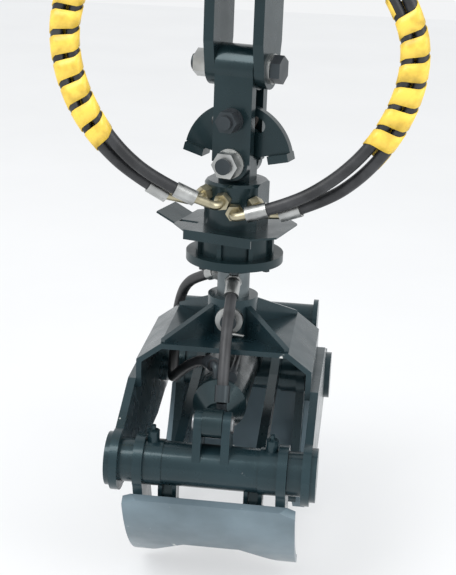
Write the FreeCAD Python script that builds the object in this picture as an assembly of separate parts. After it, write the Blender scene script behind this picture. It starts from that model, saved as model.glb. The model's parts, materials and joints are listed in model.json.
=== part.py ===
import FreeCAD, Part
import math
import os

V = FreeCAD.Vector

# Log grapple with swing-brake link and rotator, in mm, +Z up.
# Origin: centre of the hanger's top face.  X runs along the jaw pivots, Y from jaw to jaw.

# ---- running fits and weld seats
pin_clearance = 0.06        # radial, pin in bush
slide_clearance = 0.3       # radial, between pieces on different bodies
side_clearance = 0.5        # axial, between pieces that turn on each other

# ---- hanger, the fork at the crane's tip
hanger_plate_radius = 66.0
hanger_plate_thickness = 16.0
hanger_bolt_circle = 100.0
hanger_bolt_count = 4
hanger_bolt_hole_radius = 8.75
hanger_drop = 128.0         # top face to the crane bolt's axis
ear_thickness = 16.0
ear_width = 74.0
ear_end_radius = 30.0
upper_yaw = -16.0           # degrees, how far the upper group is turned on the rotator
crane_bolt_radius = 12.0
washer_radius = 22.0
washer_thickness = 4.0
nut_flats = 36.0            # across flats of every M24 nut and head
nut_height = 20.0
bolt_tip = 6.0              # thread beyond a nut

# ---- link with its brake
link_width = 60.0           # along its own X
link_depth = 60.0           # along its own Y
link_cheek = 15.0
link_centres = 139.0        # crane bolt to lower pivot
link_top_radius = 32.0
link_end_radius = 27.0
link_slot_rise = 112.0      # slot's top above the lower pivot
brake_bolt_rise = 64.0      # brake bolt above the lower pivot
brake_bolt_radius = 10.0
brake_nut_flats = 30.0
sector_radius = 86.0
sector_thickness = 12.0
sector_half_angle = 76.0
brake_swing = 30.0          # degrees either way
brake_disc_radius = 24.0
stop_bar_size = 12.0

# ---- rotator
pivot_to_head = 29.0        # lower pivot to the head column's top
head_height = 69.0
head_radius = 49.0
head_flat = 43.0            # half distance across the column's flats
head_chamfer = 4.0
shield_thickness = 3.0
shield_width = 166.0
shield_depth = 146.0
shield_lip = 12.0
shield_notch = 30.0         # length of the slot beside the wing
wing_width = 34.0
wing_angle = 24.0
stator_height = 43.0
stator_radius = 56.0
rib_count = 8
rib_radius = 62.0
rib_width = 7.0
ring_radius = 74.0
ring_thickness = 13.0
ring_bolt_count = 8
ring_bolt_circle = 134.0
ring_bolt_flats = 10.0
ring_bolt_head = 4.0
seal_boss_radius = 37.0
seal_boss_height = 13.0
shaft_radius = 24.75
shaft_gap = 43.0            # seal boss to the hub's top, where the shaft shows
rotor_radius = 40.0
rotor_height = 36.0

# ---- frame
hub_radius = 38.5
hub_height = 56.0
hub_pin_rise = 26.0
hub_pin_radius = 12.5
hub_washer_radius = 21.0
lynch_radius = 2.5
hood_thickness = 8.0
hood_half_depth = 96.0
hood_flat_half = 96.0
hood_half_width = 132.0
hood_bevel_drop = 27.0
hood_wall = 45.0
gusset_thickness = 10.0
gusset_height = 46.0
gusset_foot = 5.0
cheek_thickness = 12.0
cheek_end_radius = 45.0
cheek_lap = 14.0            # how far a cheek laps up over the hood's wall
cheek_belly = 60.0          # cheek's lower edge below the pivots
cheek_belly_half = 110.0
pivot_half_span = 195.0     # jaw pivots in front of and behind the rotator's axis
pivot_drop = 145.0          # jaw pivots below the hood's top
jaw_pin_radius = 20.0
pin_disc_radius = 39.0
pin_disc_thickness = 8.5
spacer_radius = 32.0

# ---- jaws
tube_radius = 32.0
bush_wall = 4.0
bush_length = 42.0
hub_band_radius = 34.0
hub_band_inner = 70.0       # the hub bands' inner faces, from the middle
arm_inner = 96.5            # the arms' inner faces, from the middle
arm_thickness = 14.0
arm_ring_radius = 40.5
blade_thickness = 12.0
blade_half_width = 126.0
blade_top_out = 37.0        # the blade's top edge outside the pivot
blade_top_drop = 46.0       # and below it
tip_reach = 228.0           # blade tip from the pivot
tip_angle = 27.0            # degrees inward of straight down
blade_sagitta = 20.0
scallop_depth = 92.0
scallop_flat_half = 42.0
scallop_half_width = 104.0
blade_corner = 22.0
arm_hole_radius = 11.0
arm_hole_up = 22.0          # the hole above the web's middle
arm_waist_depth = 46.0      # the web's depth at its middle
arm_tip_depth = 9.0         # and at its tip
arm_throat = -38.0          # degrees round the ring where the web's inner edge meets it
arm_crown = 180.0           # and where its outer edge does
cylinder_lever = 68.0       # cylinder pins above the jaw pivots
cylinder_pin_radius = 12.0
lug_thickness = 12.0
lug_end_radius = 18.0
lug_foot_half = 30.0        # an ear's half width at the tube
tie_lever = 64.0            # tie-bar pins above and below the jaw pivots
tie_pin_radius = 8.0
tie_lug_thickness = 6.0
tie_lug_radius = 14.0
tie_offset = 62.5           # the bars' middle plane from the middle
tie_line = 46.0             # the bars' middle line above and below the jaw pivots
tie_eye_wall = 5.0
tie_root = 110.0            # where a bar starts to widen towards its eye
tie_thickness = 14.0
tie_depth = 34.0
grease_boss_radius = 9.0
grease_boss_height = 16.0
rear_tube_radius = 25.0     # cross tube over the rear jaw
rear_tube_out = 50.0
rear_tube_rise = 82.0
rear_tube_half = 115.0
rear_flange_radius = 34.0
rear_flange_thickness = 8.0

# ---- travel of the jaws, degrees; closing is positive
jaw_open = 31.0
jaw_close = 31.0

# ---- cylinder
barrel_radius = 40.0
bore_radius = 32.0
barrel_reach = 272.0        # front pin to the gland's outer face
barrel_cone_start = 34.0
barrel_cone_end = 68.0
barrel_eye_radius = 21.0
barrel_floor = 14.0
gland_length = 24.0
rod_radius = 18.0
rod_flats = 36.0            # rear pin to where the rod is full round
rod_reach = 252.0           # rear pin to the piston's far face
piston_length = 22.0
eye_width = 28.0

# ---- hoses
hose_radius = 9.0
inner_hose_radius = 8.5
ferrule_wall = 2.5
ferrule_length = 32.0
elbow_radius = 6.5
elbow_bend = 11.0
port_nut_flats = 22.0
port_nut_length = 13.0
pipe_radius = 5.0
pipe_lean = 20.0            # degrees right of the barrel's top

# ---- levels worked down from the origin
crane_z = -hanger_drop
link_pivot_z = crane_z - link_centres
head_top_z = link_pivot_z - pivot_to_head
shield_z = head_top_z - head_height
ring_top_z = shield_z - stator_height
ring_z = ring_top_z - ring_thickness
boss_z = ring_z - seal_boss_height
hub_top_z = boss_z - shaft_gap
hood_z = hub_top_z - hub_height
pivot_z = hood_z - pivot_drop
cylinder_z = pivot_z + cylinder_lever
hub_pin_z = hood_z + hub_pin_rise
cheek_outer = hood_half_width + cheek_thickness
link_gap = link_depth - 2 * link_cheek
bush_radius = jaw_pin_radius + pin_clearance + bush_wall
tube_half = arm_inner + arm_thickness
UP, ALONG, ACROSS = V(0, 0, 1), V(0, 1, 0), V(1, 0, 0)


def cylinder(start, direction, radius, length):
    return Part.makeCylinder(radius, length, start, direction)


def ring(start, direction, outer, inner, length):
    return cylinder(start, direction, outer, length).cut(cylinder(start, direction, inner, length))


def box(x0, x1, y0, y1, z0, z1):
    return Part.makeBox(x1 - x0, y1 - y0, z1 - z0, V(x0, y0, z0))


def join(shapes):
    first = shapes[0]
    return first.fuse(shapes[1:]).removeSplitter() if len(shapes) > 1 else first


def plate_yz(points, x0, x1):
    """A plate across X from an outline of (y, z) points."""
    corners = [V(x0, y, z) for y, z in points]
    return Part.Face(Part.makePolygon(corners + corners[:1])).extrude(V(x1 - x0, 0, 0))


def arc_slot(centre, way, radius, half_width, half_angle, length):
    """The shape of a round-ended slot that bends round centre, upright in its middle."""
    reach = UP * (radius + half_width) * 2
    sides = [FreeCAD.Rotation(way, end * half_angle).multVec(UP) for end in (-1, 1)]
    corners = [centre, centre + sides[0] * reach.z, centre + reach, centre + sides[1] * reach.z, centre]
    wedge = Part.Face(Part.makePolygon(corners)).extrude(way * length)
    slot = ring(centre, way, radius + half_width, radius - half_width, length).common(wedge)
    return slot.fuse([cylinder(centre + side * radius, way, half_width, length) for side in sides])


def plate_xz(points, y0, y1):
    corners = [V(x, y0, z) for x, z in points]
    return Part.Face(Part.makePolygon(corners + corners[:1])).extrude(V(0, y1 - y0, 0))


def hexagon(start, direction, flats, length):
    """A hexagonal prism with its axis along direction."""
    corner = flats / 2 / math.cos(math.pi / 6)
    points = [V(corner * math.cos(k * math.pi / 3), corner * math.sin(k * math.pi / 3), 0) for k in range(7)]
    prism = Part.Face(Part.makePolygon(points)).extrude(V(0, 0, length))
    prism.Placement = FreeCAD.Placement(start, FreeCAD.Rotation(UP, direction))
    return prism


def route_wire(points, radius=None):
    """Straight runs joined by tangent arcs, each as large as its runs allow, or of one radius."""
    edges, radii, start = [], [], points[0]
    for before, corner, after in zip(points, points[1:], points[2:]):
        back, ahead = (before - corner).normalize(), (after - corner).normalize()
        half_turn = (math.pi - back.getAngle(ahead)) / 2
        reach = 0.45 * min((before - corner).Length, (after - corner).Length)
        bend = radius or reach / math.tan(half_turn)
        reach = bend * math.tan(half_turn)
        radii.append(bend)
        first, last = corner + back * reach, corner + ahead * reach
        inward = (back + ahead).normalize()
        middle = corner + inward * (bend / math.cos(half_turn) - bend)
        edges += [Part.LineSegment(start, first).toShape(), Part.Arc(first, middle, last).toShape()]
        start = last
    edges.append(Part.LineSegment(start, points[-1]).toShape())
    return Part.Wire(edges), radii


def tube_along(points, radius, bend=None, name=None):
    """A round tube along a route; a named one is a hose, and its bends and volume are printed."""
    wire, radii = route_wire(points, bend)
    circle = Part.Wire(Part.makeCircle(radius, points[0], points[1] - points[0]))
    tube = wire.makePipeShell([circle], True, False)
    if name:
        share = tube.Volume / (math.pi * radius ** 2 * wire.Length)
        print(name, "length", round(wire.Length), "volume share", round(share, 4),
              "radii", [round(r) for r in radii])
    return tube


def turned(shape, degrees=upper_yaw):
    copy = shape.copy()
    copy.rotate(V(0, 0, 0), UP, degrees)
    return copy


def both_sides(shape, normal=ACROSS):
    return [shape, shape.mirror(V(0, 0, 0), normal)]


def save(name, *solids):
    shape = solids[0] if len(solids) == 1 else Part.makeCompound(list(solids))
    if not shape.isValid():
        print("NOT VALID", name)
    shape.exportStep(os.path.join("parts", name + ".step"))


os.makedirs("parts", exist_ok=True)


# ======================= hanger =======================
def hanger():
    plate = cylinder(V(0, 0, -hanger_plate_thickness), UP, hanger_plate_radius, hanger_plate_thickness)
    for k in range(hanger_bolt_count):
        angle = math.radians(45) + 2 * math.pi * k / hanger_bolt_count
        spot = V(math.cos(angle), math.sin(angle), 0) * (hanger_bolt_circle / 2)
        plate = plate.cut(cylinder(spot - UP * hanger_plate_thickness, UP, hanger_bolt_hole_radius,
                                   hanger_plate_thickness))
    inner = link_width / 2 + side_clearance
    ears = []
    for side in (-1, 1):
        x0 = min(side * inner, side * (inner + ear_thickness))
        half = ear_width / 2
        blank = box(x0, x0 + ear_thickness, -half, half, crane_z + half, -hanger_plate_thickness)
        taper = plate_yz([(-ear_end_radius, crane_z), (ear_end_radius, crane_z), (half, crane_z + half),
                          (-half, crane_z + half)], x0, x0 + ear_thickness)
        end = cylinder(V(x0, 0, crane_z), ACROSS, ear_end_radius, ear_thickness)
        hole = cylinder(V(x0, 0, crane_z), ACROSS, crane_bolt_radius + pin_clearance, ear_thickness)
        ears.append(blank.fuse([taper, end]).cut(hole))
    return join([plate] + ears)


def crane_bolt():
    reach = link_width / 2 + side_clearance + ear_thickness
    shank_end = reach + washer_thickness + nut_height + bolt_tip
    shank = cylinder(V(-shank_end, 0, crane_z), ACROSS, crane_bolt_radius, shank_end + reach + washer_thickness)
    head = hexagon(V(reach + washer_thickness, 0, crane_z), ACROSS, nut_flats, nut_height * 0.75)
    return shank.fuse(head)


def crane_nut():
    reach = link_width / 2 + side_clearance + ear_thickness
    bore = crane_bolt_radius + pin_clearance
    start = V(-reach - washer_thickness - nut_height, 0, crane_z)
    nut = hexagon(start, ACROSS, nut_flats, nut_height)
    return nut.cut(cylinder(start, ACROSS, bore, nut_height))


def crane_washers():
    reach = link_width / 2 + side_clearance + ear_thickness
    return [ring(V(x, 0, crane_z), ACROSS, washer_radius, crane_bolt_radius + pin_clearance, washer_thickness)
            for x in (reach, -reach - washer_thickness)]


save("hanger_fork", turned(hanger()))
save("crane_bolt", turned(crane_bolt()))
save("crane_nut_set", *[turned(piece) for piece in [crane_nut()] + crane_washers()])


# ======================= link and brake =======================
crane_bush_radius = crane_bolt_radius + pin_clearance + bush_wall


def link():
    half_x, half_y = link_width / 2, link_depth / 2
    body = box(-half_x, half_x, -half_y, half_y, link_pivot_z, crane_z)
    top = cylinder(V(-half_x, 0, crane_z), ACROSS, link_top_radius, link_width)
    foot = cylinder(V(0, -half_y, link_pivot_z), ALONG, link_end_radius, link_depth)
    slot = box(-sector_radius * 2, sector_radius * 2, -link_gap / 2, link_gap / 2,
               link_pivot_z - link_end_radius * 2, link_pivot_z + link_slot_rise)
    corner = link_end_radius * 2
    edge = box(-corner, corner, -half_y, half_y, link_pivot_z - corner, link_pivot_z)
    body = body.fuse(foot).cut(edge.cut(foot)).cut(slot)
    body = body.fuse(top)
    bore = cylinder(V(-half_x, 0, crane_z), ACROSS, crane_bush_radius, link_width)
    pivot = cylinder(V(0, -half_y, link_pivot_z), ALONG, crane_bolt_radius + pin_clearance, link_depth)
    brake = cylinder(V(0, -half_y, link_pivot_z + brake_bolt_rise), ALONG,
                     brake_bolt_radius + pin_clearance, link_depth)
    return body.cut(bore).cut(pivot).cut(brake)


def crane_bush():
    half = link_width / 2
    return ring(V(-half, 0, crane_z), ACROSS, crane_bush_radius, crane_bolt_radius + pin_clearance, link_width)


def through_bolt(z, radius, flats, head_height):
    """A bolt along the link's Y, head behind and nut in front."""
    half = link_depth / 2
    length = 2 * half + 2 * washer_thickness + nut_height + bolt_tip
    shank = cylinder(V(0, half + washer_thickness - length, z), ALONG, radius, length)
    return shank.fuse(hexagon(V(0, half + washer_thickness, z), ALONG, flats, head_height))


def front_nut(z, radius, flats):
    start = V(0, -link_depth / 2 - washer_thickness - nut_height, z)
    return hexagon(start, ALONG, flats, nut_height).cut(cylinder(start, ALONG, radius, nut_height))


def link_washers(z, outer, inner):
    half = link_depth / 2
    return [ring(V(0, y, z), ALONG, outer, inner, washer_thickness) for y in (half, -half - washer_thickness)]


brake_z = link_pivot_z + brake_bolt_rise
disc_thickness = (link_gap - sector_thickness) / 2 - slide_clearance


def brake_discs():
    start = sector_thickness / 2 + slide_clearance
    bore = brake_bolt_radius + pin_clearance
    return [ring(V(0, y, brake_z), ALONG, brake_disc_radius, bore, disc_thickness)
            for y in (start, -start - disc_thickness)]


save("link_block", turned(link()))
save("crane_bush", turned(crane_bush()))
save("pivot_bolt", turned(through_bolt(link_pivot_z, crane_bolt_radius, nut_flats, nut_height * 0.75)))
save("brake_bolt", turned(through_bolt(brake_z, brake_bolt_radius, brake_nut_flats, nut_height * 0.6)))
pivot_bore, brake_bore = crane_bolt_radius + pin_clearance, brake_bolt_radius + pin_clearance
link_nuts = [front_nut(link_pivot_z, pivot_bore, nut_flats), front_nut(brake_z, brake_bore, brake_nut_flats)]
link_nuts += link_washers(link_pivot_z, washer_radius, pivot_bore)
link_nuts += link_washers(brake_z, brake_nut_flats * 0.6, brake_bore)
save("link_nuts", *[turned(piece) for piece in link_nuts])
save("brake_discs", *[turned(d) for d in brake_discs()])


# ======================= rotator =======================
def sector():
    """The brake's fan plate: a sector round the lower pivot, with an arc slot for the brake bolt."""
    half = math.radians(sector_half_angle)
    left = V(-math.sin(half), 0, math.cos(half)) * sector_radius
    right = V(math.sin(half), 0, math.cos(half)) * sector_radius
    centre, top = V(0, 0, 0), V(0, 0, sector_radius)
    outline = Part.Wire([Part.LineSegment(centre, left).toShape(), Part.Arc(left, top, right).toShape(),
                         Part.LineSegment(right, centre).toShape()])
    fan = Part.Face(outline).extrude(V(0, sector_thickness, 0))
    slot_angle = brake_swing + math.degrees(side_clearance / brake_bolt_rise)
    fan = fan.cut(arc_slot(centre, ALONG, brake_bolt_rise, brake_bolt_radius + side_clearance, slot_angle,
                           sector_thickness))
    fan = fan.cut(cylinder(centre, ALONG, crane_bolt_radius + pin_clearance, sector_thickness))
    fan.translate(V(0, -sector_thickness / 2, link_pivot_z))
    return fan


def stop_bars():
    """Square bars along the fan's two lower edges, outside the link."""
    bars = []
    depth = link_gap - 2 * side_clearance
    for side in (-1, 1):
        inner, outer = link_width / 2 + 22, sector_radius - 2
        bar = box(inner, outer, -depth / 2, depth / 2, -stop_bar_size, 0)
        bar.rotate(V(0, 0, 0), ALONG, -(90 - sector_half_angle))
        if side < 0:
            bar = bar.mirror(V(0, 0, 0), ACROSS)
        bar.translate(V(0, 0, link_pivot_z))
        bars.append(bar)
    return bars


def head():
    """The rotator's head: a flatted column with the lug that the link holds."""
    column = cylinder(V(0, 0, shield_z), UP, head_radius, head_height)
    flats = box(-head_flat, head_flat, -head_radius, head_radius, shield_z, head_top_z)
    cone = Part.makeCone(head_radius + head_chamfer, head_radius - head_chamfer, 2 * head_chamfer,
                         V(0, 0, head_top_z - 2 * head_chamfer))
    low = cylinder(V(0, 0, shield_z), UP, head_radius, head_height - 2 * head_chamfer)
    column = column.common(flats).common(cone.fuse(low))
    lug_half = link_gap / 2 - side_clearance
    lug_width = link_end_radius - 2
    lug = box(-lug_width, lug_width, -lug_half, lug_half, head_top_z, link_pivot_z)
    eye = cylinder(V(0, -lug_half, link_pivot_z), ALONG, lug_width, 2 * lug_half)
    slit = box(-sector_radius, sector_radius, -sector_thickness / 2, sector_thickness / 2,
               link_pivot_z - lug_width * 2, link_pivot_z + sector_radius)
    fan_room = sector_seat(slit)
    body = column.fuse([lug, eye]).cut(fan_room)
    return body.cut(cylinder(V(0, -lug_half, link_pivot_z), ALONG, crane_bolt_radius + pin_clearance,
                             2 * lug_half))


def sector_seat(blank):
    """The room that the fan's own outline takes in the head's eye."""
    half = math.radians(sector_half_angle)
    reach = sector_radius * 1.2
    points = [(0, link_pivot_z)]
    points += [(-math.sin(half) * reach, link_pivot_z + math.cos(half) * reach),
               (-math.sin(half) * reach, link_pivot_z + reach),
               (math.sin(half) * reach, link_pivot_z + reach),
               (math.sin(half) * reach, link_pivot_z + math.cos(half) * reach)]
    return blank.common(plate_xz(points, -sector_thickness / 2, sector_thickness / 2))


def shield():
    """A thin guard plate with cut corners and one wing bent up."""
    half_x, half_y, cut = shield_width / 2, shield_depth / 2, shield_depth * 0.2
    points = [(-half_x, half_y - cut), (-half_x, -half_y + cut), (-half_x + cut, -half_y),
              (half_x - cut, -half_y), (half_x, -half_y + cut), (half_x, half_y - cut),
              (half_x - cut, half_y), (-half_x + cut, half_y)]
    corners = [V(x, y, 0) for x, y in points]
    plate = Part.Face(Part.makePolygon(corners + corners[:1])).extrude(UP * shield_thickness)
    wing = box(-wing_width, 0, -half_y + cut, half_y * 0.3, 0, shield_thickness)
    wing.rotate(V(0, 0, 0), ALONG, wing_angle)
    wing.translate(V(-half_x + shield_thickness * math.sin(math.radians(wing_angle)), 0, 0))
    lip = box(-half_x + cut, half_x - cut, -half_y, -half_y + shield_thickness, -shield_lip, 0)
    plate = plate.fuse([wing, lip]).cut(cylinder(V(0, 0, 0), UP, head_flat - 6, shield_thickness))
    notch = box(0, shield_notch, -half_y * 0.45, -half_y * 0.45 + shield_notch / 3, 0, shield_thickness)
    notch.translate(V(shield_thickness - half_x, 0, 0))
    plate = plate.cut(notch)
    plate.translate(V(0, 0, shield_z - shield_thickness))
    return plate


def rotor_hollow():
    start = V(0, 0, ring_top_z + (stator_height - shield_thickness - rotor_height) / 2 - side_clearance)
    return cylinder(start, UP, rotor_radius + slide_clearance, rotor_height + 2 * side_clearance)


def stator():
    """The housing: a drum with upright ribs, and the hollow that the rotor turns in."""
    height = stator_height - shield_thickness
    drum = cylinder(V(0, 0, ring_top_z), UP, stator_radius, height)
    ribs = []
    for k in range(rib_count):
        rib = box(stator_radius - 4, rib_radius, -rib_width / 2, rib_width / 2, ring_top_z, ring_top_z + height)
        rib.rotate(V(0, 0, 0), UP, 360.0 * k / rib_count)
        ribs.append(rib)
    body = drum.fuse(ribs)
    bore = cylinder(V(0, 0, ring_top_z), UP, shaft_radius + pin_clearance, height - 1)
    return body.cut(rotor_hollow()).cut(bore)


def ring_flange():
    flange = cylinder(V(0, 0, ring_z), UP, ring_radius, ring_thickness)
    boss = Part.makeCone(seal_boss_radius, seal_boss_radius + seal_boss_height / 2, seal_boss_height,
                         V(0, 0, boss_z))
    return flange.fuse(boss).cut(cylinder(V(0, 0, boss_z), UP, shaft_radius + pin_clearance,
                                          ring_thickness + seal_boss_height))


def ring_bolts():
    bolts = []
    for k in range(ring_bolt_count):
        angle = 2 * math.pi * (k + 0.5) / ring_bolt_count
        spot = V(math.cos(angle), math.sin(angle), 0) * (ring_bolt_circle / 2)
        bolts.append(hexagon(spot + UP * (ring_z - ring_bolt_head), UP, ring_bolt_flats, ring_bolt_head))
    return bolts


def rotor_shaft():
    """The shaft with its rotor drum; it reaches down into the grapple's hub."""
    start = ring_top_z + (stator_height - shield_thickness - rotor_height) / 2
    drum = cylinder(V(0, 0, start), UP, rotor_radius, rotor_height)
    shaft = cylinder(V(0, 0, hood_z + side_clearance), UP, shaft_radius, start - hood_z)
    pin_hole = cylinder(V(0, -hub_radius, hub_pin_z), ALONG, hub_pin_radius + pin_clearance, 2 * hub_radius)
    return shaft.fuse(drum).cut(pin_hole)


save("brake_sector", *[turned(piece) for piece in [sector()] + stop_bars()])
save("rotator_head", turned(head()))
save("shield_plate", turned(shield()))
save("stator_housing", turned(stator()))
save("stator_flange", turned(ring_flange()))
save("flange_bolts", *[turned(b) for b in ring_bolts()])
save("rotor_shaft", rotor_shaft())


# ======================= frame =======================
def hood():
    """A bent plate, open in front and behind: flat top, two bevels and two short walls."""
    inset = hood_thickness * math.tan(math.atan2(hood_bevel_drop, hood_half_width - hood_flat_half) / 2)
    wall_z = hood_z - hood_bevel_drop - hood_wall
    shoulder = hood_thickness * math.tan(math.radians(90) / 2
                                         - math.atan2(hood_bevel_drop, hood_half_width - hood_flat_half) / 2)
    outer = [(-hood_half_width, wall_z), (-hood_half_width, hood_z - hood_bevel_drop),
             (-hood_flat_half, hood_z), (hood_flat_half, hood_z),
             (hood_half_width, hood_z - hood_bevel_drop), (hood_half_width, wall_z)]
    inner_x, flat_x = hood_half_width - hood_thickness, hood_flat_half - inset
    inner = [(inner_x, wall_z), (inner_x, hood_z - hood_bevel_drop - shoulder),
             (flat_x, hood_z - hood_thickness), (-flat_x, hood_z - hood_thickness),
             (-inner_x, hood_z - hood_bevel_drop - shoulder), (-inner_x, wall_z)]
    return plate_xz(outer + inner, -hood_half_depth, hood_half_depth)


def hub():
    tube = ring(V(0, 0, hood_z), UP, hub_radius, shaft_radius + pin_clearance, hub_height)
    hole = cylinder(V(0, -hub_radius, hub_pin_z), ALONG, hub_pin_radius + pin_clearance, 2 * hub_radius)
    return tube.cut(hole)


def gussets():
    """Four upright plates from the hub to the hood's corners."""
    foot_x, foot_y = hood_flat_half - 3, hood_half_depth - 6
    run = math.hypot(foot_x, foot_y)
    near = math.sqrt(hub_radius ** 2 - (gusset_thickness / 2) ** 2)
    plates = []
    for sx, sy in ((1, -1), (-1, -1), (1, 1), (-1, 1)):
        plate = plate_xz([(near - 1, hood_z), (run, hood_z), (run, hood_z + gusset_foot),
                          (near - 1, hood_z + gusset_height)], -gusset_thickness / 2, gusset_thickness / 2)
        plate.rotate(V(0, 0, 0), UP, math.degrees(math.atan2(sy * foot_y, sx * foot_x)))
        plates.append(plate.cut(cylinder(V(0, 0, hood_z), UP, hub_radius, hub_height)))
    return plates


def cheek():
    """The right-hand side plate that holds both jaw pins."""
    x0, x1 = hood_half_width, cheek_outer
    lap_z = hood_z - hood_bevel_drop - hood_wall + cheek_lap
    tangent = math.asin(cheek_end_radius / math.hypot(pivot_half_span - hood_half_depth, lap_z - pivot_z))
    slope = math.atan2(lap_z - pivot_z, pivot_half_span - hood_half_depth)
    up_y = math.sin(tangent + slope) * cheek_end_radius
    up_z = math.cos(tangent + slope) * cheek_end_radius
    points = []
    for side in (-1, 1):
        row = [(side * (pivot_half_span + up_y), pivot_z + up_z), (side * hood_half_depth, lap_z)]
        points += row if side < 0 else row[::-1]
    low = pivot_z - cheek_belly
    drop_y = math.sin(math.radians(12)) * cheek_end_radius
    drop_z = math.cos(math.radians(12)) * cheek_end_radius
    points += [(pivot_half_span - drop_y, pivot_z - drop_z), (cheek_belly_half, low),
               (-cheek_belly_half, low), (-pivot_half_span + drop_y, pivot_z - drop_z)]
    web = plate_yz(points, x0, x1)
    ends = [cylinder(V(x0, side * pivot_half_span, pivot_z), ACROSS, cheek_end_radius, cheek_thickness)
            for side in (-1, 1)]
    body = web.fuse(ends)
    for side in (-1, 1):
        body = body.cut(cylinder(V(x0, side * pivot_half_span, pivot_z), ACROSS,
                                 jaw_pin_radius + pin_clearance, cheek_thickness))
    return body.removeSplitter()


def jaw_pin(side):
    return cylinder(V(-cheek_outer, side * pivot_half_span, pivot_z), ACROSS, jaw_pin_radius, 2 * cheek_outer)


def pin_discs(side):
    """Keeper discs on the ends of a jaw pin, each with its bolt head."""
    discs = []
    for end in (-1, 1):
        start = V(end * cheek_outer, side * pivot_half_span, pivot_z)
        disc = cylinder(start, ACROSS * end, pin_disc_radius, pin_disc_thickness)
        discs.append(disc)
    return discs


def spacers(side):
    start = tube_half + side_clearance
    rings = []
    for end in (-1, 1):
        rings.append(ring(V(end * start, side * pivot_half_span, pivot_z), ACROSS * end, spacer_radius,
                          jaw_pin_radius + pin_clearance, hood_half_width - start))
    return rings


def hub_pin():
    reach = hub_radius + 6
    pin = cylinder(V(0, -reach - 10, hub_pin_z), ALONG, hub_pin_radius, 2 * reach + 14)
    return pin.cut(cylinder(V(0, -hub_radius - 11, hub_pin_z - hub_pin_radius), UP, lynch_radius,
                            2 * hub_pin_radius))


def hub_pin_collars():
    """A washer each side, cut to the hub's round wall, so that the pin can't work out."""
    collars = []
    wall = cylinder(V(0, 0, hood_z), UP, hub_radius, hub_height)
    for side in (-1, 1):
        start = V(0, side * (hub_radius - 8), hub_pin_z)
        collar = ring(start, ALONG * side, hub_washer_radius, hub_pin_radius + pin_clearance, 14)
        collars.append(collar.cut(wall))
    return collars


def lynch_pin():
    """The bent wire pin through the hub pin's front end."""
    y = -hub_radius - 11
    low = hood_z + 3 * lynch_radius
    route = [V(0, y, hub_pin_z + hub_pin_radius + 4), V(0, y, low), V(24, y, low - lynch_radius)]
    return tube_along(route, lynch_radius, 6)


save("hood", hood())
save("hub_socket", hub())
save("gussets", *gussets())
right_cheek = cheek()
save("cheek_right", right_cheek)
save("cheek_left", right_cheek.mirror(V(0, 0, 0), ACROSS))
save("front_jaw_pin", jaw_pin(-1))
save("rear_jaw_pin", jaw_pin(1))
save("pin_discs", *pin_discs(-1), *pin_discs(1))
save("pivot_spacers", *spacers(-1), *spacers(1))
save("hub_pin", hub_pin())
save("hub_pin_collars", *hub_pin_collars())
save("lynch_pin", lynch_pin())


# ======================= jaws =======================
blade_top = V(0, -blade_top_out, -blade_top_drop)
blade_tip = V(0, math.sin(math.radians(tip_angle)), -math.cos(math.radians(tip_angle))) * tip_reach
blade_chord = (blade_tip - blade_top).Length
blade_along = (blade_tip - blade_top).normalize()
blade_inward = V(0, -blade_along.z, blade_along.y)
blade_radius = (blade_chord ** 2 / 4 + blade_sagitta ** 2) / (2 * blade_sagitta)
blade_centre = (blade_top + blade_tip) * 0.5 + blade_inward * (blade_radius - blade_sagitta)


def arc_band(outer, inner, x0, x1):
    """A curved plate between two radii round the blade's centre, from its top edge to its tip."""
    rims = []
    for radius in (outer, inner):
        start = blade_centre + (blade_top - blade_centre).normalize() * radius
        end = blade_centre + (blade_tip - blade_centre).normalize() * radius
        middle = blade_centre - blade_inward * radius
        rims.append((start, middle, end))
    (a, b, c), (d, e, f) = rims
    edges = [Part.Arc(a, b, c).toShape(), Part.LineSegment(c, f).toShape(),
             Part.Arc(f, e, d).toShape(), Part.LineSegment(d, a).toShape()]
    face = Part.Face(Part.Wire(edges))
    face.translate(V(x0, 0, 0))
    return face.extrude(V(x1 - x0, 0, 0))


def blade():
    """The curved blade; its lower edge is scalloped and leaves a lobe at each end."""
    band = arc_band(blade_radius, blade_radius - blade_thickness, -blade_half_width, blade_half_width)

    def at(x, up):
        return blade_tip - blade_along * up + V(x, 0, 0)
    low, flat, wide = -30, scallop_flat_half, scallop_half_width
    mid_x, mid_up = (flat + wide) / 2, scallop_depth * 0.55
    outline = [Part.LineSegment(at(-flat, scallop_depth), at(flat, scallop_depth)).toShape(),
               Part.Arc(at(flat, scallop_depth), at(mid_x, mid_up + 12), at(wide, 6)).toShape(),
               Part.LineSegment(at(wide, 6), at(wide + 10, low)).toShape(),
               Part.LineSegment(at(wide + 10, low), at(-wide - 10, low)).toShape(),
               Part.LineSegment(at(-wide - 10, low), at(-wide, 6)).toShape(),
               Part.Arc(at(-wide, 6), at(-mid_x, mid_up + 12), at(-flat, scallop_depth)).toShape()]
    cutter = Part.Face(Part.Wire(outline))
    cutter.translate(blade_inward * -60)
    band = band.cut(cutter.extrude(blade_inward * 120))
    for side in (-1, 1):
        corner = [V(side * blade_half_width, 0, 0), V(side * (blade_half_width - blade_corner), 0, 0),
                  V(side * blade_half_width, 0, 0) + blade_along * blade_corner * 0.45]
        face = Part.Face(Part.makePolygon(corner + corner[:1]))
        face.translate(blade_top - blade_along * 0.01 - blade_inward * 60)
        band = band.cut(face.extrude(blade_inward * 120))
    return band


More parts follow.
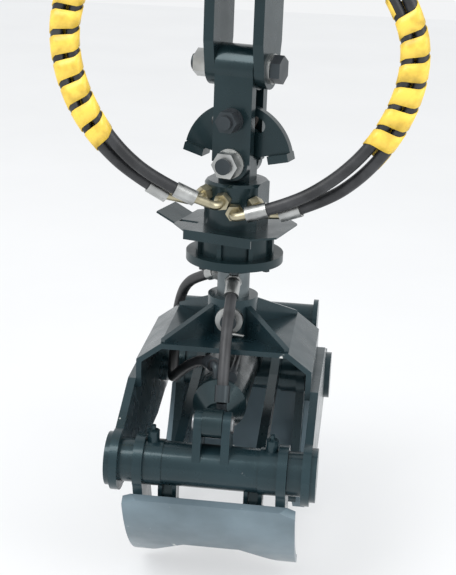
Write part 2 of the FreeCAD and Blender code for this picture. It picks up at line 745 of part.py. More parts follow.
def arm(x0, x1):
    """A side arm: a ring round the tube and a web that narrows down the blade's inner face."""
    inner_radius = blade_radius - blade_thickness
    top_way, tip_way = (blade_top - blade_centre).normalize(), (blade_tip - blade_centre).normalize()
    top, tip = blade_centre + top_way * inner_radius, blade_centre + tip_way * inner_radius
    middle = blade_centre - blade_inward * inner_radius
    point = blade_centre + tip_way * (inner_radius - arm_tip_depth)
    waist = blade_centre - blade_inward * (inner_radius - arm_waist_depth)
    throat = V(0, math.cos(math.radians(arm_throat)), math.sin(math.radians(arm_throat))) * arm_ring_radius
    crown = V(0, math.cos(math.radians(arm_crown)), math.sin(math.radians(arm_crown))) * arm_ring_radius
    outline = [Part.Arc(top, middle, tip).toShape(), Part.LineSegment(tip, point).toShape(),
               Part.Arc(point, waist, throat).toShape(), Part.LineSegment(throat, crown).toShape(),
               Part.LineSegment(crown, top).toShape()]
    web = Part.Face(Part.Wire(outline))
    web.translate(V(x0, 0, 0))
    body = cylinder(V(x0, 0, 0), ACROSS, arm_ring_radius, x1 - x0).fuse(web.extrude(V(x1 - x0, 0, 0)))
    hole_at = middle + blade_inward * (arm_waist_depth / 2) - blade_along * arm_hole_up
    body = body.cut(cylinder(V(x0, 0, 0), ACROSS, tube_radius, x1 - x0))
    return body.cut(cylinder(V(x0, hole_at.y, hole_at.z), ACROSS, arm_hole_radius, x1 - x0)).removeSplitter()


def torque_tube():
    """The jaw's tube, with a thicker hub band near each end."""
    bands = [ring(V(end * hub_band_inner, 0, 0), ACROSS * end, hub_band_radius, tube_radius,
                  arm_inner - hub_band_inner) for end in (-1, 1)]
    tube = cylinder(V(-tube_half, 0, 0), ACROSS, tube_radius, 2 * tube_half).fuse(bands)
    return tube.cut(cylinder(V(-tube_half, 0, 0), ACROSS, bush_radius, 2 * tube_half)).removeSplitter()


def bushes():
    return [ring(V(end * tube_half, 0, 0), ACROSS * -end, bush_radius, jaw_pin_radius + pin_clearance,
                 bush_length) for end in (-1, 1)]


def cylinder_lugs():
    """Two ears over the tube for the cylinder's pin."""
    ears = []
    for end in (-1, 1):
        near = eye_width / 2 + side_clearance
        x0 = near if end > 0 else -near - lug_thickness
        lever = V(0, 0, cylinder_lever)
        eye = cylinder(V(x0, 0, lever.z), ACROSS, lug_end_radius, lug_thickness)
        web = plate_yz([(-lug_end_radius, lever.z), (lug_end_radius, lever.z), (lug_foot_half, 0),
                        (-lug_foot_half, 0)], x0, x0 + lug_thickness)
        ear = eye.fuse(web).cut(cylinder(V(x0, 0, 0), ACROSS, tube_radius, lug_thickness))
        ear = ear.cut(box(x0, x0 + lug_thickness, -60, 60, -60, 0))
        ears.append(ear.cut(cylinder(V(x0, 0, lever.z), ACROSS, cylinder_pin_radius + pin_clearance,
                                     lug_thickness)).removeSplitter())
    return ears


def cylinder_pin():
    half = eye_width / 2 + side_clearance + lug_thickness + 3
    return cylinder(V(-half, 0, cylinder_lever), ACROSS, cylinder_pin_radius, 2 * half)


def tie_lugs(direction):
    """Pairs of small ears for the tie bars, under the front tube and over the rear one."""
    ears = []
    for end in (-1, 1):
        for face in (-1, 1):
            near = tie_offset + face * (tie_thickness / 2 + side_clearance)
            x0, x1 = sorted((end * near, end * (near + face * tie_lug_thickness)))
            z = direction * tie_lever
            eye = cylinder(V(x0, 0, z), ACROSS, tie_lug_radius, x1 - x0)
            web = plate_yz([(-tie_lug_radius, z), (tie_lug_radius, z), (tie_lug_radius, 0),
                            (-tie_lug_radius, 0)], x0, x1)
            room = cylinder(V(x0, 0, 0), ACROSS, hub_band_radius if x1 > hub_band_inner or
                            x0 < -hub_band_inner else tube_radius, x1 - x0)
            hole = cylinder(V(x0, 0, z), ACROSS, tie_pin_radius + pin_clearance, x1 - x0)
            ears.append(eye.fuse(web).cut(room).cut(hole).removeSplitter())
    return ears


def tie_pins(direction):
    half = tie_thickness / 2 + side_clearance + tie_lug_thickness + 2
    return [cylinder(V(end * tie_offset - half, 0, direction * tie_lever), ACROSS, tie_pin_radius, 2 * half)
            for end in (-1, 1)]


def grease_bosses():
    bosses = []
    middle = arm_inner - grease_boss_radius - 1.5
    for end in (-1, 1):
        boss = cylinder(V(end * middle, 0, 0), UP, grease_boss_radius, hub_band_radius + grease_boss_height)
        nipple = cylinder(V(end * middle, 0, hub_band_radius), UP, 3.5, grease_boss_height + 8)
        bosses.append(boss.fuse(nipple).cut(cylinder(V(end * middle - 20, 0, 0), ACROSS, hub_band_radius, 40)))
    return bosses


def place_jaw(shape, side):
    copy = shape.copy() if side < 0 else shape.mirror(V(0, 0, 0), ALONG)
    copy.translate(V(0, side * pivot_half_span, pivot_z))
    return copy


arm_right = arm(arm_inner, arm_inner + arm_thickness)
jaw_pieces = {"torque_tube": [torque_tube()], "arms": both_sides(arm_right), "blade": [blade()],
              "bushes": bushes(), "grease_bosses": grease_bosses()}
for place, side in (("front", -1), ("rear", 1)):
    for piece, solids in jaw_pieces.items():
        save(place + "_" + piece, *[place_jaw(s, side) for s in solids])
    save(place + "_lever_lugs", *[place_jaw(s, side) for s in cylinder_lugs() + tie_lugs(side)])
    save(place + "_lever_pins", *[place_jaw(s, side) for s in [cylinder_pin()] + tie_pins(side)])


def rear_cross_tube():
    """The tube with end flanges over the rear jaw, on plates from its arms."""
    y, z = pivot_half_span + rear_tube_out, pivot_z + rear_tube_rise
    tube = cylinder(V(-rear_tube_half, y, z), ACROSS, rear_tube_radius, 2 * rear_tube_half)
    flanges = [cylinder(V(end * rear_tube_half, y, z), ACROSS * end, rear_flange_radius,
                        rear_flange_thickness) for end in (-1, 1)]
    return join([tube] + flanges)


def rear_horns():
    """Plates that carry the cross tube on the rear arms."""
    y, z = pivot_half_span + rear_tube_out, pivot_z + rear_tube_rise
    horns = []
    for end in (-1, 1):
        x0, x1 = sorted((end * arm_inner, end * (arm_inner + arm_thickness)))
        lean = math.atan2(rear_tube_out, rear_tube_rise)
        side_y, side_z = math.cos(lean), -math.sin(lean)
        width = rear_tube_radius - 3
        base_y, base_z = pivot_half_span, pivot_z
        web = plate_yz([(base_y - side_y * width, base_z - side_z * width),
                        (base_y + side_y * width, base_z + side_z * width),
                        (y + side_y * width, z + side_z * width), (y - side_y * width, z - side_z * width)],
                       x0, x1)
        web = web.cut(cylinder(V(x0, base_y, base_z), ACROSS, arm_ring_radius, x1 - x0))
        horns.append(web.cut(cylinder(V(x0, y, z), ACROSS, rear_tube_radius, x1 - x0)))
    return horns


save("rear_cross_tube", rear_cross_tube(), *rear_horns())


# ======================= tie bars =======================
def tie_bar(end):
    """A flat bar that crosses from the front jaw's lower pin to the rear jaw's upper pin.

    Its rear eye is an upright slot, and it is relieved round both tubes for the whole travel.
    """
    x0 = end * tie_offset - tie_thickness / 2
    front = V(x0, -pivot_half_span, pivot_z - tie_lever)
    rear = V(x0, pivot_half_span, pivot_z + tie_lever)
    swing = max(jaw_open, jaw_close)
    sink = 2 * tie_lever * (1 - math.cos(math.radians(swing))) + slide_clearance
    slot_half = tie_pin_radius + slide_clearance
    eye, half = slot_half + tie_eye_wall, tie_depth / 2

    def line(y, offset):
        return y, pivot_z + y * tie_line / pivot_half_span + offset
    root = pivot_half_span - tie_root
    body = plate_yz([line(-pivot_half_span, half), line(root, half), (rear.y, rear.z + eye), (rear.y + eye, rear.z),
                     line(pivot_half_span, -half), line(-root, -half), (front.y, front.z - eye),
                     (front.y - eye, front.z)], x0, x0 + tie_thickness)
    low = rear - UP * sink
    pad = box(x0, x0 + tie_thickness, rear.y - eye, rear.y + eye, low.z, rear.z)
    body = body.fuse([cylinder(spot, ACROSS, eye, tie_thickness) for spot in (front, rear, low)] + [pad])
    for pivot_y in (-pivot_half_span, pivot_half_span):
        body = body.cut(arc_slot(V(x0, pivot_y, front.z), ACROSS, tie_lever, tube_radius + side_clearance,
                                 swing, tie_thickness))
    slot = box(x0, x0 + tie_thickness, rear.y - slot_half, rear.y + slot_half, low.z, rear.z)
    body = body.cut(slot.fuse([cylinder(spot, ACROSS, slot_half, tie_thickness) for spot in (rear, low)]))
    return body.cut(cylinder(front, ACROSS, tie_pin_radius + pin_clearance, tie_thickness)).removeSplitter()


save("tie_bar_left", tie_bar(-1))
save("tie_bar_right", tie_bar(1))


# ======================= cylinder =======================
def on_cylinder(y):
    """A point on the cylinder's axis, y from the front pin."""
    return V(0, -pivot_half_span + y, cylinder_z)


def barrel():
    eye = cylinder(V(-eye_width / 2, -pivot_half_span, cylinder_z), ACROSS, barrel_eye_radius, eye_width)
    neck = cylinder(on_cylinder(0), ALONG, eye_width / 2, barrel_cone_start + 1)
    cone = Part.makeCone(eye_width / 2 + 3, barrel_radius, barrel_cone_end - barrel_cone_start,
                         on_cylinder(barrel_cone_start), ALONG)
    tube = cylinder(on_cylinder(barrel_cone_end), ALONG, barrel_radius, barrel_reach - gland_length
                    - barrel_cone_end)
    body = join([eye, neck, cone, tube])
    hollow_start = barrel_cone_start + barrel_floor
    body = body.cut(cylinder(on_cylinder(hollow_start), ALONG, eye_width / 2 - 2, barrel_reach - hollow_start))
    body = body.cut(cylinder(on_cylinder(barrel_cone_end - 6), ALONG, bore_radius, barrel_reach))
    return body.cut(cylinder(V(-eye_width / 2, -pivot_half_span, cylinder_z), ACROSS,
                             cylinder_pin_radius + pin_clearance, eye_width))


def gland():
    start = on_cylinder(barrel_reach - gland_length)
    return ring(start, ALONG, barrel_radius + 4, rod_radius + slide_clearance, gland_length)


def rod():
    """The rod with its eye; it points at the front jaw."""
    rear = V(0, pivot_half_span, cylinder_z)
    eye = cylinder(rear - ACROSS * (eye_width / 2), ACROSS, barrel_eye_radius, eye_width)
    shaft = cylinder(rear, ALONG * -1, rod_radius, rod_reach - piston_length)
    blank = box(-rod_radius, rod_radius, pivot_half_span - rod_flats, pivot_half_span,
                cylinder_z - rod_radius, cylinder_z + rod_radius)
    flats = box(-eye_width / 2, eye_width / 2, pivot_half_span - rod_flats, pivot_half_span,
                cylinder_z - rod_radius, cylinder_z + rod_radius)
    body = eye.fuse(shaft.cut(blank.cut(flats))).removeSplitter()
    return body.cut(cylinder(rear - ACROSS * (eye_width / 2), ACROSS, cylinder_pin_radius + pin_clearance,
                             eye_width))


def piston():
    rear = V(0, pivot_half_span, cylinder_z)
    return cylinder(rear - ALONG * rod_reach, ALONG, bore_radius - slide_clearance, piston_length)


whole_barrel = barrel()
save("cylinder_barrel", whole_barrel)
save("cylinder_gland", gland())
save("piston_rod", rod())
save("piston", piston())


# ======================= hoses and fittings =======================
# Each outer hose: port on the head, corner of its elbow, then the hose's own route to the crane.
outer_hoses = {
    "hose_left_upper": ([V(-14, -47, -318), V(-20, -76, -322)],
                        [V(-52, -78, -311), V(-110, -86, -284), V(-157, -93, -246), V(-194, -95, -199),
                         V(-220, -95, -147), V(-231, -95, -95), V(-226, -95, -43), V(-209, -95, 2)]),
    "hose_left_lower": ([V(-40, -28, -312), V(-62, -56, -320)],
                        [V(-96, -62, -313), V(-148, -74, -281), V(-191, -86, -238), V(-224, -95, -191),
                         V(-245, -95, -138), V(-253, -95, -85), V(-247, -95, -33), V(-229, -95, 11)]),
    "hose_right_upper": ([V(4, -49, -333), V(2, -78, -337)],
                         [V(24, -80, -330), V(88, -86, -308), V(148, -92, -268), V(196, -95, -217),
                          V(227, -95, -158), V(239, -95, -100), V(231, -95, -46), V(206, -95, -8)]),
    "hose_right_lower": ([V(30, -38, -322), V(44, -60, -333)],
                         [V(72, -62, -331), V(134, -74, -305), V(186, -86, -263), V(225, -95, -210),
                          V(250, -95, -154), V(259, -95, -98), V(250, -95, -44), V(224, -95, 0)]),
}
front_hose = [V(4, -40, -448), V(4, -80, -476), V(5, -117, -507), V(7, -149, -543), V(8, -168, -588)]
rear_hose = [V(-29, 19, -450), V(-54, 52, -468), V(-84, 86, -492), V(-100, 114, -530), V(-106, 120, -575),
             V(-106, 110, -612), V(-103, 80, -638), V(-97, 38, -642), V(-84, -2, -618), V(-60, -38, -586),
             V(-32, -72, -561), V(-14, -104, -556)]


def ferrule(end, inner_point, radius):
    """A crimped sleeve round the straight end of a hose."""
    length = min(ferrule_length, (inner_point - end).Length / 2)
    return ring(end, (inner_point - end).normalize(), radius + ferrule_wall, radius, length)


def port_nut(port, corner):
    way = (corner - port).normalize()
    nut = hexagon(port, way, port_nut_flats, port_nut_length)
    return nut.cut(cylinder(port, way, elbow_radius, port_nut_length))


def hose_end(end, inner_point):
    """The coupling on a hose's crane end: a collar and a hexagon."""
    way = (end - inner_point).normalize()
    start = end + way * slide_clearance
    return cylinder(start, way, hose_radius + ferrule_wall, 14).fuse(hexagon(start + way * 14, way, 24, 16))


head_wall = turned(cylinder(V(0, 0, shield_z), UP, head_radius, head_height))
elbows, ferrules, ends = [], [], []
for name, (port, route) in outer_hoses.items():
    hose = tube_along(route, hose_radius, name=name)
    save(name, hose)
    elbow = tube_along(port + route[:1], elbow_radius, elbow_bend).cut([head_wall, hose])
    elbows += [elbow, port_nut(*port).cut([head_wall, elbow])]
    ferrules.append(ferrule(route[0], route[1], hose_radius))
    ends.append(hose_end(route[-1], route[-2]))
save("port_elbows", *elbows)
save("hose_ferrules", *ferrules)
save("crane_couplings", *ends)
inner_hoses = [tube_along(front_hose, inner_hose_radius, name="inner_hose_front"),
               tube_along(rear_hose, inner_hose_radius, name="inner_hose_rear")]
save("inner_hose_front", inner_hoses[0])
save("inner_hose_rear", inner_hoses[1])


def shaft_fittings():
    """Hexagon fittings from the shaft to the two inner hoses, with the hoses' upper sleeves."""
    wall = cylinder(V(0, 0, hub_top_z), UP, shaft_radius, shaft_gap)
    pieces = []
    for route in (front_hose, rear_hose):
        level = V(0, 0, route[0].z)
        way = (route[0] - level).normalize()
        nut = hexagon(level + way * (shaft_radius - 4), way, port_nut_flats,
                      (route[0] - level).Length - shaft_radius + 4)
        sleeve = ferrule(route[0], route[1], inner_hose_radius)
        pieces += [nut.cut([wall, sleeve] + inner_hoses), sleeve]
    return pieces


def cylinder_ports():
    """Ports, sleeves and the hard pipe on the barrel."""
    end, before = front_hose[-1], front_hose[-2]
    stub = cylinder(V(end.x, end.y, cylinder_z), UP, elbow_radius + 1, end.z - cylinder_z)
    low = ferrule(end, before, inner_hose_radius)
    stub = stub.cut([whole_barrel, inner_hoses[0], low])
    tip, prior = rear_hose[-1], rear_hose[-2]
    way = (tip - prior).normalize()
    corner = tip + way * 15
    foot = V(corner.x, corner.y, cylinder_z + barrel_radius - 2)
    elbow = tube_along([tip + way * 2 * slide_clearance, corner, foot], elbow_radius, 7)
    lean = math.radians(pipe_lean)
    offset = V(math.sin(lean), 0, math.cos(lean)) * (barrel_radius + pipe_radius + slide_clearance)
    near, far = on_cylinder(barrel_cone_end + 12) + offset, on_cylinder(barrel_reach - gland_length) + offset
    pipe = cylinder(near, ALONG, pipe_radius, (far - near).Length)
    block = cylinder(near - ALONG * 8, ALONG, pipe_radius + 4, 14)
    return [stub, low, elbow.cut(whole_barrel), ferrule(tip, prior, inner_hose_radius),
            pipe.fuse(block).cut(whole_barrel)]


save("shaft_fittings", *shaft_fittings())
save("cylinder_ports", *cylinder_ports())
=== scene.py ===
import json
import math
import bpy
from mathutils import Matrix, Vector


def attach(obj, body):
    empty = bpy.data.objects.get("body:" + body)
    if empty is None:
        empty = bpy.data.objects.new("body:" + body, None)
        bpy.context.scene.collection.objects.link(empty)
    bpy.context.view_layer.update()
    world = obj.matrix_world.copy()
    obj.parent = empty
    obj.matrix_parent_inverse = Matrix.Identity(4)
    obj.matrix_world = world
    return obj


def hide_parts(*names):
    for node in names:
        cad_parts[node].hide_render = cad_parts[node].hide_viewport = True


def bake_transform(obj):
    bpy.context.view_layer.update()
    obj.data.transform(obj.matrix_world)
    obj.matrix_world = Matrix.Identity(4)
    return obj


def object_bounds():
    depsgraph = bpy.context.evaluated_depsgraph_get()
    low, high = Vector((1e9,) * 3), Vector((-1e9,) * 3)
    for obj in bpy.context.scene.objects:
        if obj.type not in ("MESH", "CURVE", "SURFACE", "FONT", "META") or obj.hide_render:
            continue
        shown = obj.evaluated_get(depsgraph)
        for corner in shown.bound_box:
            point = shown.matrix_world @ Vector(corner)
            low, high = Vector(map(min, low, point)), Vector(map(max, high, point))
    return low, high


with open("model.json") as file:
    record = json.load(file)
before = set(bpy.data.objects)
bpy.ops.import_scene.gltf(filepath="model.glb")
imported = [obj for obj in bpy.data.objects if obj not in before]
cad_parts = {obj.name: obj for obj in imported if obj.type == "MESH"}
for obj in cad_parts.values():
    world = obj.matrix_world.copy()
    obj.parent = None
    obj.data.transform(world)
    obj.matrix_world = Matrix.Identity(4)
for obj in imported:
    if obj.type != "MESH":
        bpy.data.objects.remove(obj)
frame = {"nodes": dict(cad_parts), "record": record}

cad_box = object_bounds()

# ---- camera, where the photograph was taken from
CAMERA_AT = Vector((0.2022, -1.8634, 0.1511))
CAMERA_YAW, CAMERA_PITCH, CAMERA_ROLL = math.radians(6.44), math.radians(18.29), math.radians(2.16)
LENS_MM = 80.27

# ---- hoses: the routes' points, in metres
HOSE_RADIUS = 0.009
INNER_HOSE_RADIUS = 0.0085
WRAP_FROM_Z = -0.232          # the yellow guard covers each pair of outer hoses above this level
WRAP_PITCH, WRAP_WIDTH = 0.034, 0.026
WRAP_THICKNESS = 0.0015
WRAP_END = 0.97               # the share of the hoses' length where the guard stops
WRAP_TURN_STEPS = 36          # rows of faces in one turn of the guard
LEVEL_STEPS = 200             # steps in the search for the level where the guard starts
SLOPE_SHARE = 0.01            # half of the span over which a hose's direction is taken
OUTER_HOSES = {
    "hose_left_upper": [(-0.052, -0.078, -0.311), (-0.110, -0.086, -0.284), (-0.157, -0.093, -0.246),
                        (-0.194, -0.095, -0.199), (-0.220, -0.095, -0.147), (-0.231, -0.095, -0.095),
                        (-0.226, -0.095, -0.043), (-0.209, -0.095, 0.002)],
    "hose_left_lower": [(-0.096, -0.062, -0.313), (-0.148, -0.074, -0.281), (-0.191, -0.086, -0.238),
                        (-0.224, -0.095, -0.191), (-0.245, -0.095, -0.138), (-0.253, -0.095, -0.085),
                        (-0.247, -0.095, -0.033), (-0.229, -0.095, 0.011)],
    "hose_right_upper": [(0.024, -0.080, -0.330), (0.088, -0.086, -0.308), (0.148, -0.092, -0.268),
                         (0.196, -0.095, -0.217), (0.227, -0.095, -0.158), (0.239, -0.095, -0.100),
                         (0.231, -0.095, -0.046), (0.206, -0.095, -0.008)],
    "hose_right_lower": [(0.072, -0.062, -0.331), (0.134, -0.074, -0.305), (0.186, -0.086, -0.263),
                         (0.225, -0.095, -0.210), (0.250, -0.095, -0.154), (0.259, -0.095, -0.098),
                         (0.250, -0.095, -0.044), (0.224, -0.095, 0.000)],
}
INNER_HOSES = {
    "inner_hose_front": [(0.004, -0.040, -0.448), (0.004, -0.080, -0.476), (0.005, -0.117, -0.507),
                         (0.007, -0.149, -0.543), (0.008, -0.168, -0.588)],
    "inner_hose_rear": [(-0.029, 0.019, -0.450), (-0.054, 0.052, -0.468), (-0.084, 0.086, -0.492),
                        (-0.100, 0.114, -0.530), (-0.106, 0.120, -0.575), (-0.106, 0.110, -0.612),
                        (-0.103, 0.080, -0.638), (-0.097, 0.038, -0.642), (-0.084, -0.002, -0.618),
                        (-0.060, -0.038, -0.586), (-0.032, -0.072, -0.561), (-0.014, -0.104, -0.556)],
}

# ---- finishes that differ from the rest of their slot
BETWEEN_BOLTS_Z = -0.235
FINISHES = {"brake_bolt": "dark_bolt", "pivot_bolt": "dark_bolt", "hub_pin": "dark_bolt",
            "rotor_shaft": "worn_steel", "port_elbows": "yellow_zinc"}
STUDIO_WHITE = (0.90, 0.91, 0.92)
GLOW_SHARE = 0.5              # how much of the floor's look is the backdrop's own white


def make_camera():
    forward = Vector((-math.sin(CAMERA_YAW) * math.cos(CAMERA_PITCH),
                      math.cos(CAMERA_YAW) * math.cos(CAMERA_PITCH), -math.sin(CAMERA_PITCH)))
    level = Vector((math.cos(CAMERA_YAW), math.sin(CAMERA_YAW), 0))
    above = level.cross(forward)
    right = math.cos(CAMERA_ROLL) * level + math.sin(CAMERA_ROLL) * above
    top = -math.sin(CAMERA_ROLL) * level + math.cos(CAMERA_ROLL) * above
    data = bpy.data.cameras.new("camera")
    data.lens, data.sensor_width = LENS_MM, 36
    camera = bpy.data.objects.new("camera", data)
    bpy.context.scene.collection.objects.link(camera)
    rows = Matrix((right, top, -forward)).transposed().to_4x4()
    camera.matrix_world = Matrix.Translation(CAMERA_AT) @ rows
    bpy.context.scene.camera = camera


# ---- materials
def new_material(name):
    material = bpy.data.materials.new(name)
    material.use_nodes = True
    tree = material.node_tree
    return material, tree, tree.nodes["Principled BSDF"]


def noise(tree, scale, detail=4.0):
    where = tree.nodes.new("ShaderNodeTexCoord")
    texture = tree.nodes.new("ShaderNodeTexNoise")
    texture.inputs["Scale"].default_value = scale
    texture.inputs["Detail"].default_value = detail
    tree.links.new(where.outputs["Object"], texture.inputs["Vector"])
    return texture.outputs["Fac"]


def ramp(tree, value, stops):
    """A colour ramp from value, with stops of (place, colour)."""
    node = tree.nodes.new("ShaderNodeValToRGB")
    for element, (place, colour) in zip(node.color_ramp.elements, stops):
        element.position, element.color = place, (*colour, 1)
    tree.links.new(value, node.inputs["Fac"])
    return node.outputs["Color"]


def mix(tree, share, first, second):
    node = tree.nodes.new("ShaderNodeMix")
    node.data_type = "RGBA"
    for socket, value in ((node.inputs[0], share), (node.inputs[6], first), (node.inputs[7], second)):
        if isinstance(value, tuple):
            socket.default_value = (*value, 1)
        else:
            tree.links.new(value, socket)
    return node.outputs[2]


def bump(tree, shader, height, strength, distance=0.001):
    node = tree.nodes.new("ShaderNodeBump")
    node.inputs["Strength"].default_value = strength
    node.inputs["Distance"].default_value = distance
    tree.links.new(height, node.inputs["Height"])
    tree.links.new(node.outputs["Normal"], shader.inputs["Normal"])


def paint(name, colour, bare, roughness, coat, wear=0.5):
    """Gloss paint with an uneven film, dust, and small bright chips; more wear brings more chips."""
    material, tree, shader = new_material(name)
    dusty = tuple(1.7 * part + 0.004 for part in colour)
    film = ramp(tree, noise(tree, 9), [(0.35, colour), (0.75, dusty)])
    worn = ramp(tree, noise(tree, 38, 8), [(0.74 - 0.06 * wear, (0, 0, 0)), (0.78 - 0.06 * wear, (1, 1, 1))])
    tree.links.new(mix(tree, worn, film, bare), shader.inputs["Base Color"])
    tree.links.new(ramp(tree, noise(tree, 25), [(0.3, (roughness,) * 3), (0.8, (roughness + 0.22,) * 3)]),
                   shader.inputs["Roughness"])
    shader.inputs["Specular IOR Level"].default_value = 0.4
    shader.inputs["Specular Tint"].default_value = (0.60, 0.88, 0.96, 1)
    shader.inputs["Coat Weight"].default_value = coat
    shader.inputs["Coat Roughness"].default_value = 0.12
    bump(tree, shader, noise(tree, 55), 0.25)
    return material


def metal(name, colour, roughness, scale=40, tarnish=0.6):
    material, tree, shader = new_material(name)
    dull = tuple(tarnish * part for part in colour)
    tree.links.new(ramp(tree, noise(tree, scale), [(0.3, dull), (0.7, colour)]), shader.inputs["Base Color"])
    shader.inputs["Metallic"].default_value = 1.0
    tree.links.new(ramp(tree, noise(tree, 2 * scale), [(0.3, (roughness,) * 3), (0.8, (roughness + 0.25,) * 3)]),
                   shader.inputs["Roughness"])
    bump(tree, shader, noise(tree, 4 * scale), 0.12)
    return material


def rubber(name, colour):
    material, tree, shader = new_material(name)
    dusty = tuple(part * 2 + 0.02 for part in colour)
    tree.links.new(ramp(tree, noise(tree, 30), [(0.4, colour), (0.8, dusty)]), shader.inputs["Base Color"])
    shader.inputs["Roughness"].default_value = 0.45
    bump(tree, shader, noise(tree, 220), 0.3, 0.0006)
    return material


def yellow_plastic(name):
    """The worn yellow strip of the hoses' spiral guard."""
    material, tree, shader = new_material(name)
    tree.links.new(ramp(tree, noise(tree, 45), [(0.30, (0.55, 0.36, 0.04)), (0.55, (0.88, 0.60, 0.08))]),
                   shader.inputs["Base Color"])
    shader.inputs["Roughness"].default_value = 0.38
    bump(tree, shader, noise(tree, 90), 0.2)
    return material


def make_materials():
    bare = (0.62, 0.62, 0.60)
    return {
        "grey_paint": paint("grey_paint", (0.005, 0.014, 0.018), bare, 0.20, 0.3, 0.2),
        # blade_paint is the grey paint made lighter: painted light for the blade faces lit from the bright
        # ground below; its extra chips are wear
        "blade_paint": paint("blade_paint", (0.105, 0.140, 0.162), bare, 0.28, 0.3, 0.8),
        "black_paint": paint("black_paint", (0.003, 0.009, 0.011), (0.30, 0.31, 0.32), 0.20, 0.3, 0.1),
        "black_cast": paint("black_cast", (0.003, 0.010, 0.012), (0.25, 0.26, 0.27), 0.32, 0.2, 0.1),
        "dark_bolt": paint("dark_bolt", (0.020, 0.021, 0.024), bare, 0.35, 0.2, 0.4),
        "dark_fitting": paint("dark_fitting", (0.018, 0.020, 0.023), bare, 0.35, 0.3, 0.4),
        "zinc": metal("zinc", (0.54, 0.55, 0.54), 0.28),
        "yellow_zinc": metal("yellow_zinc", (0.56, 0.51, 0.36), 0.26),
        "worn_steel": metal("worn_steel", (0.20, 0.23, 0.24), 0.34),
        "bare_steel": metal("bare_steel", (0.42, 0.43, 0.44), 0.28),
        "chrome_rod": metal("chrome_rod", (0.80, 0.81, 0.83), 0.08, 15, 0.9),
        "bronze": metal("bronze", (0.55, 0.36, 0.15), 0.35),
        "brake_lining": rubber("brake_lining", (0.06, 0.05, 0.045)),
        "hose_rubber": rubber("hose_rubber", (0.012, 0.013, 0.015)),
        "hose_wrap": yellow_plastic("hose_wrap"),
    }


# ---- pieces
def tube_curve(name, points, radius, material):
    data = bpy.data.curves.new(name, "CURVE")
    data.dimensions = "3D"
    spline = data.splines.new("NURBS")
    spline.points.add(len(points) - 1)
    for knot, point in zip(spline.points, points):
        knot.co = (*point, 1)
    spline.order_u = 3
    spline.use_endpoint_u = True
    spline.resolution_u = 10
    data.bevel_depth, data.bevel_resolution = radius, 6
    data.use_fill_caps = True
    data.materials.append(material)
    return data


def place_hose(name, data):
    piece = bpy.data.objects.new(name + "_line", data)
    bpy.context.scene.collection.objects.link(piece)
    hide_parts(name)
    return piece


def bending_hose(name, points, radius, material):
    """A hose as a mesh, and its centreline."""
    source = bpy.data.objects.new("source", tube_curve(name, points, radius, material))
    line = centreline(source)
    piece = place_hose(name, bpy.data.meshes.new_from_object(source))
    bpy.data.objects.remove(source)
    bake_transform(piece)
    return piece, line


def centreline(piece):
    """Points along a hose's own line, read from its spline."""
    plain = piece.data.copy()
    plain.bevel_depth = 0
    probe = bpy.data.objects.new("probe", plain)
    mesh = bpy.data.meshes.new_from_object(probe)
    points = [vertex.co.copy() for vertex in mesh.vertices]
    bpy.data.objects.remove(probe)
    bpy.data.meshes.remove(mesh)
    return points


def at_length(points, length):
    """The point at that length along a line of points."""
    for first, second in zip(points, points[1:]):
        step = (second - first).length
        if length <= step or second is points[-1]:
            return first.lerp(second, min(1.0, length / step))
        length -= step


def wrap(name, pair, material):
    """A flat strip wound round two hoses, with dark gaps between its turns."""
    lines = [centreline(piece) for piece in pair]
    spans = [sum((b - a).length for a, b in zip(line, line[1:])) for line in lines]

    def across(share, turn):
        ends = [at_length(line, share * span) for line, span in zip(lines, spans)]
        ahead = [at_length(line, min(1.0, share + SLOPE_SHARE) * span) for line, span in zip(lines, spans)]
        back = [at_length(line, max(0.0, share - SLOPE_SHARE) * span) for line, span in zip(lines, spans)]
        along = (sum(ahead, Vector()) - sum(back, Vector())).normalized()
        side = ends[1] - ends[0]
        side -= along * side.dot(along)
        half = side.length / 2
        side.normalize()
        other = along.cross(side)
        middle = (ends[0] + ends[1]) / 2
        lean = math.cos(turn)
        shift = half * max(-1.0, min(1.0, 4 * lean))
        reach = HOSE_RADIUS + WRAP_THICKNESS
        return middle + side * (shift + reach * lean) + other * reach * math.sin(turn)

    span = sum(spans) / 2
    first = next(step / LEVEL_STEPS for step in range(LEVEL_STEPS)
                 if at_length(lines[0], step / LEVEL_STEPS * spans[0]).z > WRAP_FROM_Z)
    turns = (WRAP_END - first) * span / WRAP_PITCH
    steps = int(turns * WRAP_TURN_STEPS)
    vertices, faces = [], []
    for step in range(steps + 1):
        share = first + (WRAP_END - first) * step / steps
        turn = 2 * math.pi * turns * step / steps
        for edge in (-0.5, 0.0, 0.5):
            vertices.append(across(share + edge * WRAP_WIDTH / span, turn))
    for step in range(steps):
        for k in (0, 1):
            row = 3 * step + k
            faces.append((row, row + 1, row + 4, row + 3))
    mesh = bpy.data.meshes.new(name)
    mesh.from_pydata(vertices, [], faces)
    mesh.materials.append(material)
    mesh.shade_smooth()
    piece = bpy.data.objects.new(name, mesh)
    bpy.context.scene.collection.objects.link(piece)
    thick = piece.modifiers.new("thick", "SOLIDIFY")
    thick.thickness, thick.offset = WRAP_THICKNESS, 1
    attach(piece, "stator")
    return piece


def hoses(materials):
    outer = {name: place_hose(name, tube_curve(name, points, HOSE_RADIUS, materials["hose_rubber"])) for name, points in OUTER_HOSES.items()}
    guards = {side: wrap("guard_" + side, [outer["hose_%s_upper" % side], outer["hose_%s_lower" % side]],
                         materials["hose_wrap"]) for side in ("left", "right")}
    for name, piece in outer.items():
        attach(piece, "stator")
    for name, points in INNER_HOSES.items():
        piece, line = bending_hose(name, points, INNER_HOSE_RADIUS, materials["hose_rubber"])


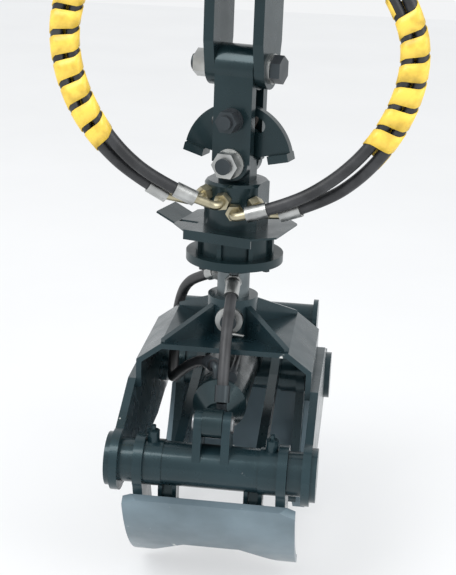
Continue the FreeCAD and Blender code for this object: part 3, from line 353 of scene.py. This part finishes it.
def dress_nodes(materials):
    slots = {part["node"]: part["material_slot"] for part in frame["record"]["subparts"]}
    for node, piece in frame["nodes"].items():
        for slot in piece.material_slots:
            slot.material = materials[FINISHES.get(node, slots[node])]
    nuts = frame["nodes"]["link_nuts"]
    nuts.data.materials.append(materials["dark_bolt"])
    for face in nuts.data.polygons:
        if (nuts.matrix_world @ face.center).z > BETWEEN_BOLTS_Z:
            face.material_index = len(nuts.data.materials) - 1


# ---- stage
def area_light(name, at, size, power, target=Vector((0, 0, -0.5))):
    data = bpy.data.lights.new(name, "AREA")
    data.size, data.energy = size, power
    lamp = bpy.data.objects.new(name, data)
    bpy.context.scene.collection.objects.link(lamp)
    lamp.location = at
    lamp.rotation_euler = (target - Vector(at)).to_track_quat("-Z", "Y").to_euler()


def make_stage():
    floor_z = cad_box[0][2] - 0.02
    bpy.ops.mesh.primitive_plane_add(size=16, location=(0, 0, floor_z))
    floor = bpy.context.object
    floor.name = "floor"
    material, tree, shader = new_material("floor")
    tree.links.new(ramp(tree, noise(tree, 1.5), [(0.3, (0.85, 0.86, 0.87)), (0.7, (0.90, 0.91, 0.92))]),
                   shader.inputs["Base Color"])
    shader.inputs["Roughness"].default_value = 0.9
    rays = tree.nodes.new("ShaderNodeLightPath")
    seen, share = tree.nodes.new("ShaderNodeMath"), tree.nodes.new("ShaderNodeMath")
    seen.operation, share.operation = "MAXIMUM", "MULTIPLY"
    share.inputs[1].default_value = GLOW_SHARE
    glow, both = tree.nodes.new("ShaderNodeEmission"), tree.nodes.new("ShaderNodeMixShader")
    glow.inputs["Color"].default_value = (*STUDIO_WHITE, 1)
    tree.links.new(rays.outputs["Is Camera Ray"], seen.inputs[0])
    tree.links.new(rays.outputs["Is Glossy Ray"], seen.inputs[1])
    tree.links.new(seen.outputs[0], share.inputs[0])
    tree.links.new(share.outputs[0], both.inputs[0])
    tree.links.new(shader.outputs[0], both.inputs[1])
    tree.links.new(glow.outputs[0], both.inputs[2])
    tree.links.new(both.outputs[0], tree.nodes["Material Output"].inputs["Surface"])
    floor.data.materials.append(material)
    world = bpy.data.worlds.new("sky")
    world.use_nodes = True
    world.node_tree.nodes["Background"].inputs["Color"].default_value = (*STUDIO_WHITE, 1)
    world.node_tree.nodes["Background"].inputs["Strength"].default_value = 1.0
    bpy.context.scene.world = world
    area_light("key", (-1.6, -1.8, 2.2), 2.0, 70)
    area_light("fill", (2.2, -1.2, 0.8), 2.0, 30)
    bpy.context.scene.view_settings.view_transform = "Standard"


make_camera()
looks = make_materials()
hoses(looks)
dress_nodes(looks)
make_stage()
